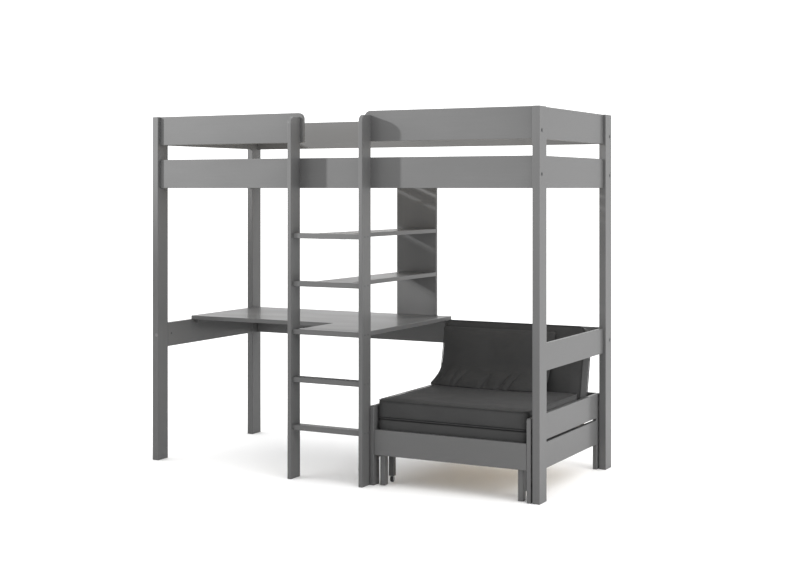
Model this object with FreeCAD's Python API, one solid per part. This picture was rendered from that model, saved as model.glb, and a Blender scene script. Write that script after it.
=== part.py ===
"""Loft bed with an L-shaped desk, a bookcase, a ladder and a pull-out chair bed.

Millimetres. X runs along the bed, Y from the ladder side to the wall side and Z up.
The origin is the middle of the floor area that the whole piece of furniture stands over.
"""
import math
import os

import FreeCAD
import Part

Vector = FreeCAD.Vector

# Bed frame: a 900 x 2000 mattress between the rails.
MATTRESS_LENGTH = 2000.0
MATTRESS_WIDTH = 900.0
MATTRESS_PLAY_X = 12.0
MATTRESS_PLAY_Y = 16.0
BOARD = 20.0
POST_X = 34.0
POST_Y = 88.0
POST_HEIGHT = 1746.0
RAIL_SETBACK = 18.0
RAIL_BOTTOM = 1384.0
RAIL_HEIGHT = 144.0
EDGE = 2.5
FREE_CORNER = 30.0
GUARD_OVERLAP = 15.0

# Desk, bookcase and ladder.
RUNG_PITCH = 228.0
FIRST_RUNG_TOP = 258.0
RUNG_COUNT = 5
RUNG_THICKNESS = 25.0
RUNG_DEPTH = 54.0
LADDER_LEFT = 840.0
LADDER_WIDTH = 402.0
LADDER_TOP = 1725.0
LADDER_CORNER = 34.0
UPRIGHT_DEPTH = 88.0
RUNG_SETBACK = 17.0
DESK_RAIL_HEIGHT = 122.0
DESK_LEFT = 28.0
DESK_FRONT = 303.0
DESK_WING_LEFT = 885.0
EASE = 0.5
CLEAT = 20.0
DESK_WING_RIGHT = 1231.0
BOOKCASE_LEFT = 923.0
BOOKCASE_RIGHT = 1152.0
SHELF_LEFT = 958.0

# Slatted base.
LEDGE = 24.0
LEDGE_BOTTOM = 1414.0
SLAT_THICKNESS = 18.0
BED_SLATS = 14
BED_SLAT_WIDTH = 70.0
WEB_WIDTH = 25.0
WEB_THICKNESS = 1.5

# Chair bed.
CHAIR_LEFT = 1245.0
CHAIR_WIDTH = 793.0
CHAIR_FRONT = 2.0
CHAIR_DEPTH = 946.0
CHAIR_POST_Y = 58.0
CHAIR_POST_HEIGHT = 371.0
CHAIR_POST_CORNER = 12.0
CHAIR_BOARD_HEIGHT = 118.0
CHAIR_BOARD_GAP = 11.0
APRON_TOP = 261.0
SLAT_UNDERSIDE = 204.0
CHAIR_SLATS = 11
CHAIR_SLAT_WIDTH = 45.0
SLIDE_GAP = 0.4
LEG_X = 25.0
LEG_Y = 35.0
LEG_OFFSET = 341.0
LEG_CLEARANCE = 1.5
CASTOR_POST_Y = 26.0
CASTOR_HEIGHT = 30.0
CASTOR_ARM_HEIGHT = 32.0
CASTOR_PLATE = 24.0
AXLE_RADIUS = 2.0
CASTOR_SETBACK = 122.0
WHEEL_RADIUS = 14.0
WHEEL_WIDTH = 12.0

# Cushions.
PAD_THICKNESS = 86.0
LOWER_PAD_DEPTH = 656.0
UPPER_PAD_DEPTH = 672.0
PAD_SIDE_GAP = 1.0
PAD_GAP = 1.5
PAD_EDGE = 14.0
BACK_THICKNESS = 104.0
BACK_LEAN = math.radians(13.2)
BACK_FOOT = 688.0
BACK_HEIGHT = 714.0
PILLOW_LEFT = 1271.0
PILLOW_RIGHT = 1876.0
PILLOW_HEIGHT = 290.0
PILLOW_TOP_DEPTH = 40.0
PILLOW_BELLY_HEIGHT = 60.0
PILLOW_BELLY_DEPTH = 140.0
PILLOW_FOOT_DEPTH = 152.0
PILLOW_GAP = 4.0
BACK_LIFT = 24.0

# Fittings.
BOLT_RADIUS = 3.0
BOLT_HEAD_RADIUS = 8.5
BOLT_HEAD = 2.6
BOLT_LENGTH = 76.0
BOLT_SINK = 0.4
BOLT_SOCKET_RADIUS = 2.3
BOLT_SOCKET_DEPTH = 2.0
HEAD_PLAY = 0.4
SHANK_PLAY = 0.25
HOLE_BOTTOM_PLAY = 0.5
NUT_RADIUS = 5.0
NUT_LENGTH = 15.0
NUT_FROM_END = 30.0
NUT_SINK = 1.0
NUT_SLOT = 1.2
DOWEL_RADIUS = 4.0
FIT = 0.05
SCREW_RADIUS = 2.0
SCREW_HEAD_RADIUS = 4.0
SCREW_HEAD = 2.4
SCREW_RECESS_RADIUS = 1.5
SCREW_RECESS_DEPTH = 1.4
LADDER_SCREW = 45.0
SHELF_SCREW = 50.0
DESK_SCREW = 34.0

# Worked-out places, measured from the outer front-left corner of the bed on the floor.
BED_LENGTH = MATTRESS_LENGTH + MATTRESS_PLAY_X + 2 * POST_X
BED_WIDTH = MATTRESS_WIDTH + MATTRESS_PLAY_Y + 2 * (RAIL_SETBACK + BOARD)
RAIL_LEFT = POST_X
RAIL_RIGHT = BED_LENGTH - POST_X
FRONT_RAIL = RAIL_SETBACK
BACK_RAIL = BED_WIDTH - RAIL_SETBACK - BOARD
GUARD_BOTTOM = POST_HEIGHT - RAIL_HEIGHT
LADDER_FRONT = FRONT_RAIL - UPRIGHT_DEPTH
RUNG_BACK = LADDER_FRONT + RUNG_SETBACK + RUNG_DEPTH
DESK_TOP = FIRST_RUNG_TOP + 2 * RUNG_PITCH
DESK_UNDER = DESK_TOP - BOARD
SLAT_TOP = LEDGE_BOTTOM + LEDGE + SLAT_THICKNESS
CHAIR_RIGHT = CHAIR_LEFT + CHAIR_WIDTH
CHAIR_IN_LEFT = CHAIR_LEFT + BOARD
CHAIR_IN_RIGHT = CHAIR_RIGHT - BOARD
CHAIR_BACK = CHAIR_FRONT + CHAIR_DEPTH
CHAIR_BACK_POST = CHAIR_BACK - CHAIR_POST_Y
SEAT_SLAT_TOP = SLAT_UNDERSIDE + SLAT_THICKNESS

# The origin is under the middle of the whole box: the ladder stands in front of the bed.
ORIGIN = Vector(BED_LENGTH / 2, (BED_WIDTH + LADDER_FRONT) / 2, 0)

ALONG = {"x": Vector(1, 0, 0), "y": Vector(0, 1, 0), "z": Vector(0, 0, 1)}


def write(name, solids):
    """Move the solids from the bed's corner to the origin and write one node."""
    shape = solids[0] if len(solids) == 1 else Part.makeCompound(solids)
    shape = shape.copy()
    shape.translate(ORIGIN * -1)
    for solid in shape.Solids:
        if not solid.isValid():
            raise ValueError(name + " is not valid")
    shape.exportStep(os.path.join("parts", name + ".step"))


def box(x, y, z):
    """A plain box from three (low, high) spans."""
    return Part.makeBox(x[1] - x[0], y[1] - y[0], z[1] - z[0], Vector(x[0], y[0], z[0]))


def board(x, y, z, edge=EDGE):
    """A planed board with softened edges."""
    solid = box(x, y, z)
    return solid.makeFillet(edge, solid.Edges)


def rounded_outline(u, v, radii):
    """A rectangle in the XY plane; radii are for its corners, anticlockwise from low u, low v."""
    corners = [Vector(u[0], v[0], 0), Vector(u[1], v[0], 0), Vector(u[1], v[1], 0), Vector(u[0], v[1], 0)]
    ways = [Vector(1, 0, 0), Vector(0, 1, 0), Vector(-1, 0, 0), Vector(0, -1, 0)]
    starts = []
    ends = []
    for i, corner in enumerate(corners):
        starts.append(corner - ways[i - 1] * radii[i])
        ends.append(corner + ways[i] * radii[i])
    edges = []
    for i, corner in enumerate(corners):
        if radii[i]:
            middle = corner + (ways[i] - ways[i - 1]) * radii[i] * (1 - math.sqrt(0.5))
            edges.append(Part.Arc(starts[i], middle, ends[i]).toShape())
        edges.append(Part.LineSegment(ends[i], starts[(i + 1) % 4]).toShape())
    return Part.Wire(edges)


def panel_facing_front(x, y, z, radii):
    """A board whose face looks along Y, with its own corner radii."""
    solid = Part.Face(rounded_outline(x, z, radii)).extrude(Vector(0, 0, y[1] - y[0]))
    solid.rotate(Vector(0, 0, 0), ALONG["x"], 90)
    solid.translate(Vector(0, y[1], 0))
    return solid.makeFillet(EDGE, solid.Edges)


def panel_facing_side(x, y, z, radii):
    """A board whose face looks along X, with its own corner radii."""
    solid = Part.Face(rounded_outline(y, z, radii)).extrude(Vector(0, 0, x[1] - x[0]))
    solid.rotate(Vector(0, 0, 0), Vector(1, 1, 1), 120)
    solid.translate(Vector(x[0], 0, 0))
    return solid.makeFillet(EDGE, solid.Edges)


def rod(start, way, length, radius):
    """A round bar from start along a signed axis such as '+x'."""
    direction = ALONG[way[1]] * (1 if way[0] == "+" else -1)
    return Part.makeCylinder(radius, length, Vector(*start), direction)


def cut(solid, tools):
    """Take the tools out of the solid."""
    return solid.cut(Part.makeCompound(tools)) if tools else solid


# ---- fittings -------------------------------------------------------------------------------

def bolt(start, way):
    """A furniture bolt whose flat head lies just under the surface at start."""
    direction = ALONG[way[1]] * (1 if way[0] == "+" else -1)
    sunk = Vector(*start) + direction * BOLT_SINK
    head = Part.makeCylinder(BOLT_HEAD_RADIUS, BOLT_HEAD, sunk, direction)
    head = head.makeFillet(0.8, [head.Edges[0], head.Edges[2]])
    shank = Part.makeCylinder(BOLT_RADIUS, BOLT_LENGTH, sunk, direction)
    socket = Part.makeCylinder(BOLT_SOCKET_RADIUS, BOLT_SOCKET_DEPTH, sunk, direction)
    return head.fuse(shank).cut(socket)


def bolt_hole(start, way):
    """The counterbore and clearance hole for a furniture bolt."""
    head = rod(start, way, BOLT_SINK + BOLT_HEAD + 0.1, BOLT_HEAD_RADIUS + HEAD_PLAY)
    shank = rod(start, way, BOLT_LENGTH + 3.0, BOLT_RADIUS + SHANK_PLAY)
    return head.fuse(shank)


def barrel_nut(centre, bolt_axis, way):
    """A barrel nut just under the surface at centre; the bolt crosses it halfway into the board."""
    direction = ALONG[way[1]] * (1 if way[0] == "+" else -1)
    outer = Vector(*centre) + direction * NUT_SINK
    body = Part.makeCylinder(NUT_RADIUS, NUT_LENGTH, outer, direction)
    middle = Vector(*centre) + direction * (BOARD / 2)
    across = Part.makeCylinder(BOLT_RADIUS + FIT, 4 * NUT_RADIUS, middle - ALONG[bolt_axis] * 2 * NUT_RADIUS,
                               ALONG[bolt_axis])
    slot_side = ALONG["z"] if bolt_axis != "z" else ALONG["x"]
    slot = Part.makeBox(NUT_SLOT, NUT_SLOT, 2 * NUT_RADIUS + 1)
    slot.translate(Vector(-NUT_SLOT / 2, -NUT_SLOT / 2, -NUT_RADIUS - 0.5))
    if slot_side == ALONG["x"]:
        slot.rotate(Vector(0, 0, 0), ALONG["y"], 90)
    slot.translate(outer)
    return body.cut(across).cut(slot)


def screw(start, way, length, grow=0.0):
    """A countersunk screw; grow makes the matching hole."""
    direction = ALONG[way[1]] * (1 if way[0] == "+" else -1)
    cone = Part.makeCone(SCREW_HEAD_RADIUS + grow, SCREW_RADIUS + grow, SCREW_HEAD, Vector(*start), direction)
    shank = Part.makeCylinder(SCREW_RADIUS + grow, length + grow, Vector(*start), direction)
    solid = cone.fuse(shank)
    if grow:
        return solid
    recess = Part.makeCylinder(SCREW_RECESS_RADIUS, SCREW_RECESS_DEPTH, Vector(*start), direction)
    return solid.cut(recess)


# ---- places of the fittings -----------------------------------------------------------------

RAIL_BOLT_RISE = 62.0
GUARD_BOLT_RISE = 37.0
BOLT_ROWS = [
    (FRONT_RAIL + BOARD / 2, RAIL_BOTTOM + RAIL_BOLT_RISE),
    (FRONT_RAIL + BOARD / 2, GUARD_BOTTOM + GUARD_BOLT_RISE),
    (BACK_RAIL + BOARD / 2, RAIL_BOTTOM + RAIL_BOLT_RISE),
    (BACK_RAIL + BOARD / 2, GUARD_BOTTOM + GUARD_BOLT_RISE),
    (BACK_RAIL + BOARD / 2, DESK_UNDER - DESK_RAIL_HEIGHT / 2),
]
DOWEL_RISE = 42.0
DOWEL_IN_POST = 20.0
DOWEL_LENGTH = 50.0


def rail_bolt_places():
    """Start and direction of each bolt through a post into the end of a long rail."""
    places = []
    for y, z in BOLT_ROWS:
        places.append(((0.0, y, z), "+x"))
        places.append(((BED_LENGTH, y, z), "-x"))
    return places


def rail_dowel_places():
    """Start and direction of the dowel beside each rail bolt."""
    places = []
    for y, z in BOLT_ROWS:
        places.append(((POST_X - DOWEL_IN_POST, y, z + DOWEL_RISE), "+x"))
        places.append(((RAIL_RIGHT + DOWEL_IN_POST, y, z + DOWEL_RISE), "-x"))
    return places


def rail_nut_places():
    """The barrel nuts sit in the inner faces of the long rails."""
    places = []
    for y, z in BOLT_ROWS:
        inner = FRONT_RAIL + BOARD if y < BED_WIDTH / 2 else BACK_RAIL
        way = "-y" if y < BED_WIDTH / 2 else "+y"
        for x in (POST_X + NUT_FROM_END, RAIL_RIGHT - NUT_FROM_END):
            places.append(((x, inner, z), "x", way))
    return places


END_BOARDS = {
    "rail_left": ("left", RAIL_BOTTOM, RAIL_HEIGHT),
    "rail_right": ("right", RAIL_BOTTOM, RAIL_HEIGHT),
    "guard_left": ("left", GUARD_BOTTOM, RAIL_HEIGHT),
    "guard_right": ("right", GUARD_BOTTOM, RAIL_HEIGHT),
    "desk_rail_left": ("left", DESK_UNDER - DESK_RAIL_HEIGHT, DESK_RAIL_HEIGHT),
    "arm_rail_right": ("right", DESK_UNDER - DESK_RAIL_HEIGHT, DESK_RAIL_HEIGHT),
}


def end_board_x(side):
    """The end boards are flush with the inner faces of the posts."""
    if side == "left":
        return (POST_X - BOARD, POST_X)
    return (BED_LENGTH - POST_X, BED_LENGTH - POST_X + BOARD)


def end_dowel_places():
    """Two dowels at each end of each end board."""
    places = []
    for side, bottom, height in END_BOARDS.values():
        x = sum(end_board_x(side)) / 2
        for rise in (0.2, 0.8):
            z = bottom + rise * height
            places.append(((x, POST_Y - DOWEL_LENGTH / 2, z), "+y"))
            places.append(((x, BED_WIDTH - POST_Y + DOWEL_LENGTH / 2, z), "-y"))
    return places


DESK_BOLT_Z = DESK_UNDER - DESK_RAIL_HEIGHT / 2 + 4.0
DESK_BOLT_SINK = 40.0
PLUG_LENGTH = 8.0
PLUG_SINK = 0.3
PLUG_RADIUS = BOLT_HEAD_RADIUS + HEAD_PLAY - FIT


def desk_bolt_places():
    """Bolts from deep counterbores in the left posts into the desk rail."""
    x = POST_X - BOARD / 2
    return [((x, DESK_BOLT_SINK, DESK_BOLT_Z), "+y"), ((x, BED_WIDTH - DESK_BOLT_SINK, DESK_BOLT_Z), "-y")]


def desk_nut_places():
    """Their barrel nuts show in the inner face of the desk rail."""
    near = POST_Y + NUT_FROM_END
    return [((POST_X, y, DESK_BOLT_Z), "y", "-x") for y in (near, BED_WIDTH - near)]


def hole_tools():
    """Every bolt, dowel, nut and plug hole in the bed frame, as one list of solids."""
    tools = [bolt_hole(*place) for place in rail_bolt_places() + desk_bolt_places()]
    for start, way in rail_dowel_places() + end_dowel_places():
        tools.append(rod(start, way, DOWEL_LENGTH, DOWEL_RADIUS + FIT))
    for start, _, way in rail_nut_places() + desk_nut_places():
        tools.append(rod(start, way, NUT_SINK + NUT_LENGTH + HOLE_BOTTOM_PLAY, NUT_RADIUS + FIT))
    x = POST_X - BOARD / 2
    tools.append(rod((x, 0, DESK_BOLT_Z), "+y", DESK_BOLT_SINK, BOLT_HEAD_RADIUS + HEAD_PLAY))
    tools.append(rod((x, BED_WIDTH, DESK_BOLT_Z), "-y", DESK_BOLT_SINK, BOLT_HEAD_RADIUS + HEAD_PLAY))
    return tools


def drilled(solid, tools):
    """Cut only the tools that reach this solid."""
    near = [tool for tool in tools if tool.BoundBox.intersect(solid.BoundBox)]
    return cut(solid, near)


# ---- bed frame ------------------------------------------------------------------------------

def bed_frame(holes):
    """Posts, long rails, guards and end boards."""
    for name, x, y in (
        ("post_front_left", 0.0, 0.0),
        ("post_front_right", BED_LENGTH - POST_X, 0.0),
        ("post_back_left", 0.0, BED_WIDTH - POST_Y),
        ("post_back_right", BED_LENGTH - POST_X, BED_WIDTH - POST_Y),
    ):
        post = board((x, x + POST_X), (y, y + POST_Y), (0.0, POST_HEIGHT))
        write(name, [drilled(post, holes)])

    rail = (RAIL_BOTTOM, RAIL_BOTTOM + RAIL_HEIGHT)
    guard = (GUARD_BOTTOM, POST_HEIGHT)
    desk_rail = (DESK_UNDER - DESK_RAIL_HEIGHT, DESK_UNDER)
    for name, y, z in (
        ("rail_front", FRONT_RAIL, rail),
        ("rail_back", BACK_RAIL, rail),
        ("guard_back", BACK_RAIL, guard),
        ("desk_rail_back", BACK_RAIL, desk_rail),
    ):
        solid = board((RAIL_LEFT, RAIL_RIGHT), (y, y + BOARD), z)
        write(name, [drilled(solid, holes)])

    front = (FRONT_RAIL, FRONT_RAIL + BOARD)
    low_corner = 8.0
    left = panel_facing_front((RAIL_LEFT, LADDER_LEFT + BOARD + GUARD_OVERLAP), front, guard,
                              (0, low_corner, FREE_CORNER, 0))
    right = panel_facing_front((LADDER_LEFT + LADDER_WIDTH - BOARD - GUARD_OVERLAP, RAIL_RIGHT), front, guard,
                               (low_corner, 0, 0, FREE_CORNER))
    write("guard_front_left", [drilled(left, holes)])
    write("guard_front_right", [drilled(right, holes)])

    for name, (side, bottom, height) in END_BOARDS.items():
        solid = board(end_board_x(side), (POST_Y, BED_WIDTH - POST_Y), (bottom, bottom + height))
        write(name, [drilled(solid, holes)])


def frame_fittings():
    """Bolts, nuts, dowels and plugs of the bed frame."""
    write("frame_bolts", [bolt(*place) for place in rail_bolt_places() + desk_bolt_places()])
    write("barrel_nuts", [barrel_nut(*place) for place in rail_nut_places() + desk_nut_places()])
    dowels = []
    for start, way in rail_dowel_places() + end_dowel_places():
        dowels.append(rod(start, way, DOWEL_LENGTH, DOWEL_RADIUS))
    write("wood_dowels", dowels)
    x = POST_X - BOARD / 2
    write("bolt_plugs", [
        rod((x, PLUG_SINK, DESK_BOLT_Z), "+y", PLUG_LENGTH, PLUG_RADIUS),
        rod((x, BED_WIDTH - PLUG_SINK, DESK_BOLT_Z), "-y", PLUG_LENGTH, PLUG_RADIUS),
    ])


def slatted_base():
    """Ledges on the long rails, the slats across them and the two webs that space the slats."""
    inner_front = FRONT_RAIL + BOARD
    z = (LEDGE_BOTTOM, LEDGE_BOTTOM + LEDGE)
    ledges = []
    for y in (inner_front, BACK_RAIL - LEDGE):
        ledges.append(board((RAIL_LEFT + 1, RAIL_RIGHT - 1), (y, y + LEDGE), z, 1.5))
    write("slat_ledges", ledges)

    end_gap = 60.0
    pitch = (RAIL_RIGHT - RAIL_LEFT - 2 * end_gap) / (BED_SLATS - 1)
    slats = []
    for i in range(BED_SLATS):
        x = RAIL_LEFT + end_gap + i * pitch - BED_SLAT_WIDTH / 2
        slats.append(board((x, x + BED_SLAT_WIDTH), (inner_front + 2, BACK_RAIL - 2),
                           (SLAT_TOP - SLAT_THICKNESS, SLAT_TOP)))
    write("bed_slats", slats)

    webs = []
    web_top = SLAT_TOP - SLAT_THICKNESS
    for y in (BED_WIDTH * 0.27, BED_WIDTH * 0.73 - WEB_WIDTH):
        z = (web_top - WEB_THICKNESS, web_top)
        webs.append(box((RAIL_LEFT + 30, RAIL_RIGHT - 30), (y, y + WEB_WIDTH), z))
    write("slat_webs", webs)


# ---- ladder ---------------------------------------------------------------------------------

def rung_top(number):
    """Height of a tread; number 0 is the lowest."""
    return FIRST_RUNG_TOP + number * RUNG_PITCH


def rung_screw_places():
    """Two screws through each upright into each end of each rung."""
    places = []
    for number in range(RUNG_COUNT):
        z = rung_top(number) - RUNG_THICKNESS / 2
        for y in (RUNG_BACK - RUNG_DEPTH + 11.0, RUNG_BACK - 12.0):
            places.append(((LADDER_LEFT, y, z), "+x"))
            places.append(((LADDER_LEFT + LADDER_WIDTH, y, z), "-x"))
    return places


def ladder_screw_places():
    """Screws from inside the bed, through the guard and the rail, into each upright."""
    inner = FRONT_RAIL + BOARD
    places = []
    for x in (LADDER_LEFT + BOARD / 2, LADDER_LEFT + LADDER_WIDTH - BOARD / 2):
        for z in (RAIL_BOTTOM + 18.0, RAIL_BOTTOM + 120.0, GUARD_BOTTOM + 40.0, GUARD_BOTTOM + 84.0):
            places.append(((x, inner, z), "-y"))
    return places


def ladder(screw_holes):
    """Two uprights, five treads."""
    y = (LADDER_FRONT, FRONT_RAIL)
    corners = (0, 0, 0, LADDER_CORNER)
    for name, x in (("upright_left", LADDER_LEFT), ("upright_right", LADDER_LEFT + LADDER_WIDTH - BOARD)):
        solid = panel_facing_side((x, x + BOARD), y, (0.0, LADDER_TOP), corners)
        write("ladder_" + name, [drilled(solid, screw_holes)])
    for number in range(RUNG_COUNT):
        top = rung_top(number)
        tread = board((LADDER_LEFT + BOARD, LADDER_LEFT + LADDER_WIDTH - BOARD),
                      (RUNG_BACK - RUNG_DEPTH, RUNG_BACK), (top - RUNG_THICKNESS, top), 3.0)
        write("rung_%d" % (number + 1), [drilled(tread, screw_holes)])


# ---- desk and bookcase ----------------------------------------------------------------------

def desk_screw_places():
    """Screws from the desk top down into its cleats."""
    side = POST_X + CLEAT / 2
    rear = BACK_RAIL - CLEAT / 2
    spots = [(side, 448.0), (side, 800.0), (300.0, rear), (DESK_WING_RIGHT - 60, rear)]
    return [((x, y, DESK_TOP), "-z", DESK_SCREW) for x, y in spots]


def desk():
    """The L-shaped top: a shallow run along the back and a wing that reaches the ladder."""
    back = BACK_RAIL
    corner = 6.0
    points = [
        (DESK_LEFT, DESK_FRONT), (DESK_WING_LEFT, DESK_FRONT), (DESK_WING_LEFT, RUNG_BACK),
        (DESK_WING_RIGHT, RUNG_BACK), (DESK_WING_RIGHT, back), (DESK_LEFT, back),
    ]
    wire = Part.makePolygon([Vector(x, y, DESK_UNDER) for x, y in points + points[:1]])
    top = Part.Face(wire).extrude(Vector(0, 0, BOARD))
    upright_x = LADDER_LEFT + LADDER_WIDTH - BOARD
    z = (0, POST_HEIGHT)
    ladder_notch = box((upright_x - EASE, DESK_WING_RIGHT + 1), (RUNG_BACK - 1, FRONT_RAIL + EASE), z)
    post_notch = box((DESK_LEFT - 1, POST_X + EASE), (BED_WIDTH - POST_Y - EASE, BED_WIDTH), z)
    top = top.cut(ladder_notch).cut(post_notch)
    upright = [e for e in top.Edges if abs(e.BoundBox.ZLength - BOARD) < 0.1]
    outer = []
    for edge in upright:
        place = edge.BoundBox
        by_ladder = place.YMin < FRONT_RAIL + 1
        by_post = place.XMin < POST_X + 1 and place.YMin > BED_WIDTH - POST_Y - 1
        if not by_ladder and not by_post and place.XMin < DESK_WING_RIGHT - 1:
            outer.append(edge)
    top = top.makeFillet(corner, outer)
    flat = [e for e in top.Edges if e.BoundBox.ZLength < 0.1]
    top = top.makeFillet(1.5, flat)
    holes = [screw(*place, grow=FIT) for place in desk_screw_places()]
    write("desk_top", [drilled(top, holes)])

    z = (DESK_UNDER - CLEAT, DESK_UNDER)
    left = board((POST_X, POST_X + CLEAT), (DESK_FRONT + 30, BACK_RAIL - CLEAT - 30), z, 1.5)
    rear = board((POST_X + CLEAT + 30, DESK_WING_RIGHT - 30), (BACK_RAIL - CLEAT, BACK_RAIL), z, 1.5)
    write("desk_cleats", [drilled(left, holes), drilled(rear, holes)])


def bracket(x, y, z, width):
    """A steel angle under a shelf: one leg flat below the board, one down the back of a rung."""
    leg = 22.0
    gauge = 2.0
    flat = box((x - width / 2, x + width / 2), (y, y + leg + 20), (z - gauge, z))
    down = box((x - width / 2, x + width / 2), (y, y + gauge), (z - 5.0, z - gauge))
    tongue = box((x - width / 2, x + width / 2), (y - leg, y + gauge), (z - 5.0 - gauge, z - 5.0))
    return flat.fuse(down).fuse(tongue).removeSplitter()


def bookcase():
    """A back panel that stands on the desk and two long shelves that reach the ladder's treads."""
    panel_y = (BACK_RAIL - BOARD, BACK_RAIL)
    panel = board((BOOKCASE_LEFT, BOOKCASE_RIGHT), panel_y, (DESK_TOP, LEDGE_BOTTOM - 2))
    shelf_screws = []
    brackets = []
    for name, number in (("shelf_lower", 3), ("shelf_upper", 4)):
        top = rung_top(number)
        solid = board((SHELF_LEFT, BOOKCASE_RIGHT), (RUNG_BACK, BACK_RAIL - BOARD), (top - BOARD, top), 1.5)
        for x in (SHELF_LEFT + 40, BOOKCASE_RIGHT - 40):
            shelf_screws.append(((x, BACK_RAIL, top - BOARD / 2), "-y", SHELF_SCREW))
            brackets.append(bracket(x, RUNG_BACK, top - BOARD, 30.0))
        write(name, [drilled(solid, [screw(*place, grow=FIT) for place in shelf_screws])])
    for x in (DESK_WING_LEFT + 60, DESK_WING_LEFT + 270):
        brackets.append(bracket(x, RUNG_BACK, DESK_UNDER, 30.0))
    write("bookcase_panel", [drilled(panel, [screw(*place, grow=FIT) for place in shelf_screws])])
    write("shelf_brackets", brackets)
    return shelf_screws


# ---- chair bed: the fixed frame -------------------------------------------------------------

LEDGE_TOP = SLAT_UNDERSIDE - LEDGE
BEARER_FRONT = CHAIR_FRONT + 128.0
TIE_BACK = CHAIR_BACK_POST - LEDGE - 2.0
TRAVEL = TIE_BACK - 2 * LEDGE - BEARER_FRONT - 6.0


def chair_slat_x(number):
    """Left edge of a chair slat; the even ones are fixed and the odd ones slide."""
    first = CHAIR_IN_LEFT + 22.0
    last = CHAIR_IN_RIGHT - 22.0 - CHAIR_SLAT_WIDTH
    return first + number * (last - first) / (CHAIR_SLATS - 1)


def chair_posts():
    """A pair of posts at the front and a pair at the back, with rounded top corners."""
    corners = (0, 0, CHAIR_POST_CORNER, CHAIR_POST_CORNER)
    for name, y in (("chair_front_posts", CHAIR_FRONT), ("chair_back_posts", CHAIR_BACK_POST)):
        posts = []
        for x in (CHAIR_LEFT, CHAIR_IN_RIGHT):
            posts.append(panel_facing_side((x, x + BOARD), (y, y + CHAIR_POST_Y),
                                           (0.0, CHAIR_POST_HEIGHT), corners))
        write(name, posts)


def chair_boards():
    """Two boards on each side and one at the back."""
    upper = (CHAIR_POST_HEIGHT - CHAIR_BOARD_HEIGHT, CHAIR_POST_HEIGHT)
    lower_top = upper[0] - CHAIR_BOARD_GAP
    lower = (lower_top - CHAIR_BOARD_HEIGHT, lower_top)
    y = (CHAIR_FRONT + CHAIR_POST_Y, CHAIR_BACK_POST)
    write("chair_boards_left", [board((CHAIR_LEFT, CHAIR_IN_LEFT), y, z) for z in (upper, lower)])
    write("chair_boards_right", [board((CHAIR_IN_RIGHT, CHAIR_RIGHT), y, z) for z in (upper, lower)])
    x = (CHAIR_IN_LEFT, CHAIR_IN_RIGHT)
    write("chair_board_back", [board(x, (CHAIR_BACK - BOARD, CHAIR_BACK), upper)])


def chair_base():
    """Side ledges, the two cross bearers on them and the fixed slats."""
    y = (CHAIR_FRONT + CHAIR_POST_Y, CHAIR_BACK_POST)
    z = (LEDGE_TOP - LEDGE, LEDGE_TOP)
    ledges = [
        board((CHAIR_IN_LEFT, CHAIR_IN_LEFT + BOARD), y, z, 1.5),
        board((CHAIR_IN_RIGHT - BOARD, CHAIR_IN_RIGHT), y, z, 1.5),
    ]
    write("chair_ledges", ledges)
    x = (CHAIR_IN_LEFT, CHAIR_IN_RIGHT)
    z = (LEDGE_TOP, SLAT_UNDERSIDE)
    bearers = [
        board(x, (BEARER_FRONT, BEARER_FRONT + LEDGE), z, 1.0),
        board(x, (CHAIR_BACK_POST - LEDGE, CHAIR_BACK_POST), z, 1.0),
    ]
    write("chair_bearers", bearers)
    slats = []
    for i in range(0, CHAIR_SLATS, 2):
        left = chair_slat_x(i)
        slats.append(board((left, left + CHAIR_SLAT_WIDTH), (BEARER_FRONT, CHAIR_BACK_POST),
                           (SLAT_UNDERSIDE, SEAT_SLAT_TOP), 2.0))
    write("chair_fixed_slats", slats)


def backrest_rack():
    """Two sloping stiles and three slats that the back cushion leans on."""
    stile = 18.0
    length = 470.0
    solids = []
    for x in (CHAIR_IN_LEFT + 90, CHAIR_IN_RIGHT - 90 - BOARD):
        solids.append(board((x, x + BOARD), (0, stile), (0, length), 1.5))
    slat = 12.0
    x = (CHAIR_IN_LEFT + 50, CHAIR_IN_RIGHT - 50)
    for rise in (150.0, 290.0, 430.0):
        solids.append(board(x, (-slat, 0), (rise - 25, rise + 25), 1.5))
    foot_y = BACK_FOOT + BACK_THICKNESS / math.cos(BACK_LEAN) + 16.0
    foot_z = SEAT_SLAT_TOP + 5.0
    for solid in solids:
        solid.rotate(Vector(0, 0, 0), ALONG["x"], -math.degrees(BACK_LEAN))
        solid.translate(Vector(0, foot_y, foot_z))
    arm_z = (CHAIR_POST_HEIGHT - 60.0, CHAIR_POST_HEIGHT - 20.0)
    arm_y = foot_y + stile / math.cos(BACK_LEAN) + (arm_z[1] - foot_z) * math.tan(BACK_LEAN)
    for x in (CHAIR_IN_LEFT + 90, CHAIR_IN_RIGHT - 90 - BOARD):
        solids.append(board((x, x + BOARD), (arm_y, CHAIR_BACK - BOARD), arm_z, 1.5))
    write("backrest_rack", solids)


# ---- chair bed: the part that pulls out -----------------------------------------------------

def leg_centres():
    """X of the middle of each pull-out leg."""
    centre = (CHAIR_LEFT + CHAIR_RIGHT) / 2
    return (centre - LEG_OFFSET, centre + LEG_OFFSET)


CASTOR_Y = CHAIR_FRONT + CASTOR_SETBACK


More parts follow.
